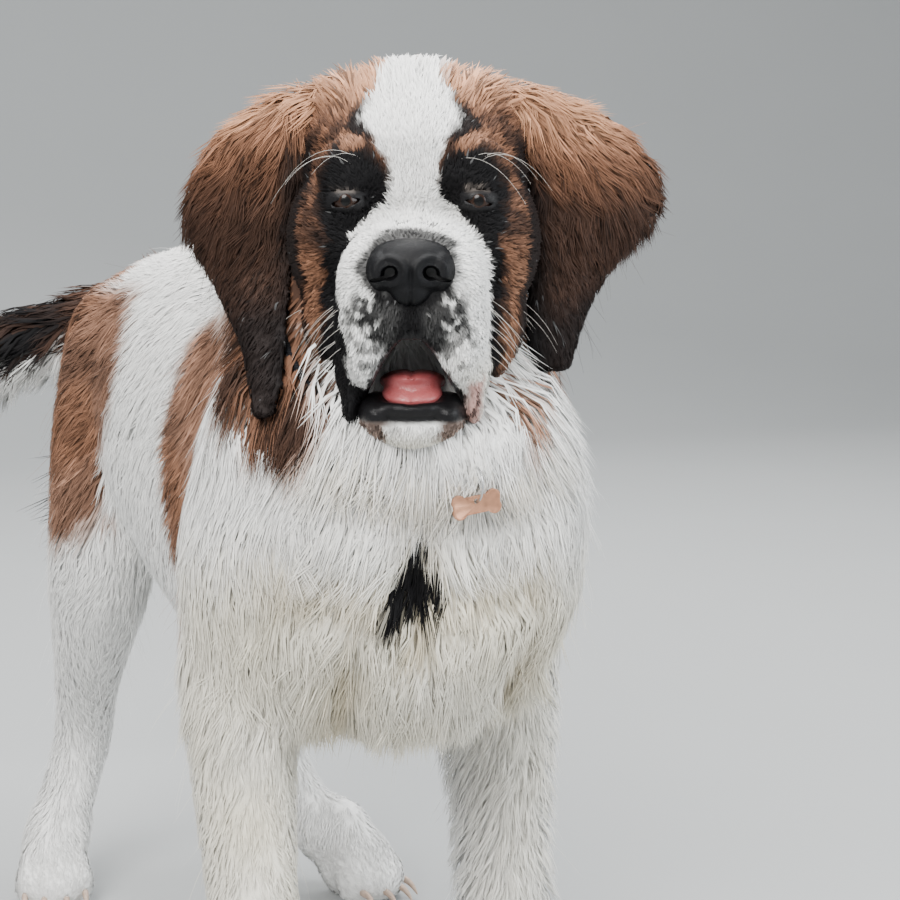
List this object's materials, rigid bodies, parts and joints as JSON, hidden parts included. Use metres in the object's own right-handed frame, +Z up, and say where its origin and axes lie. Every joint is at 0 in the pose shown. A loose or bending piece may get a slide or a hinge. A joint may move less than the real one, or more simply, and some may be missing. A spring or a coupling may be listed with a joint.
{
  "type": "saint bernard",
  "caption": "Life-size still model of a long-coated Saint Bernard puppy in mid-step, mouth open, with a buried collar and a bone-shaped tag.",
  "frame": {"origin": "on the floor, at the middle of the whole model's footprint box", "axes": "+Z up from the soles, -Y the way the body faces, +X towards the dog's own left"},
  "size_m": [0.585, 0.8962, 0.7475],
  "materials": {
    "white_coat": "long soft hair, white to cream, with brown patches",
    "dark_coat": "long soft hair, red-brown shading to black",
    "nose_leather": "black pebbled skin, moist",
    "tongue": "wet pink",
    "eye": "glossy dark brown",
    "claw_horn": "pale horn, lightly worn",
    "collar_webbing": "dark woven webbing",
    "tag_metal": "rose copper colour, brushed, plain",
    "ring_metal": "satin steel"
  },
  "bodies": {
    "root": {"head": "white_coat", "lower_jaw": "white_coat", "nose": "nose_leather", "tongue": "tongue", "eye_left": "eye", "eye_right": "eye", "ear_left": "dark_coat", "ear_right": "dark_coat", "neck": "white_coat", "chest": "white_coat", "torso": "white_coat", "foreleg_left": "white_coat", "foreleg_right": "white_coat", "forepaw_left": "white_coat", "forepaw_right": "white_coat", "thigh_left": "white_coat", "thigh_right": "white_coat", "shank_left": "white_coat", "shank_right": "white_coat", "hindpaw_left": "white_coat", "hindpaw_right": "white_coat", "tail_root": "dark_coat", "tail_end": "white_coat", "collar": "collar_webbing", "tag": "tag_metal", "tag_ring": "ring_metal", "claw_forepaw_left_1": "claw_horn", "claw_forepaw_left_2": "claw_horn", "claw_forepaw_left_3": "claw_horn", "claw_forepaw_left_4": "claw_horn", "claw_forepaw_right_1": "claw_horn", "claw_forepaw_right_2": "claw_horn", "claw_forepaw_right_3": "claw_horn", "claw_forepaw_right_4": "claw_horn", "claw_hindpaw_left_1": "claw_horn", "claw_hindpaw_left_2": "claw_horn", "claw_hindpaw_left_3": "claw_horn", "claw_hindpaw_left_4": "claw_horn", "claw_hindpaw_right_1": "claw_horn", "claw_hindpaw_right_2": "claw_horn", "claw_hindpaw_right_3": "claw_horn", "claw_hindpaw_right_4": "claw_horn"}
  },
  "joints": []
}
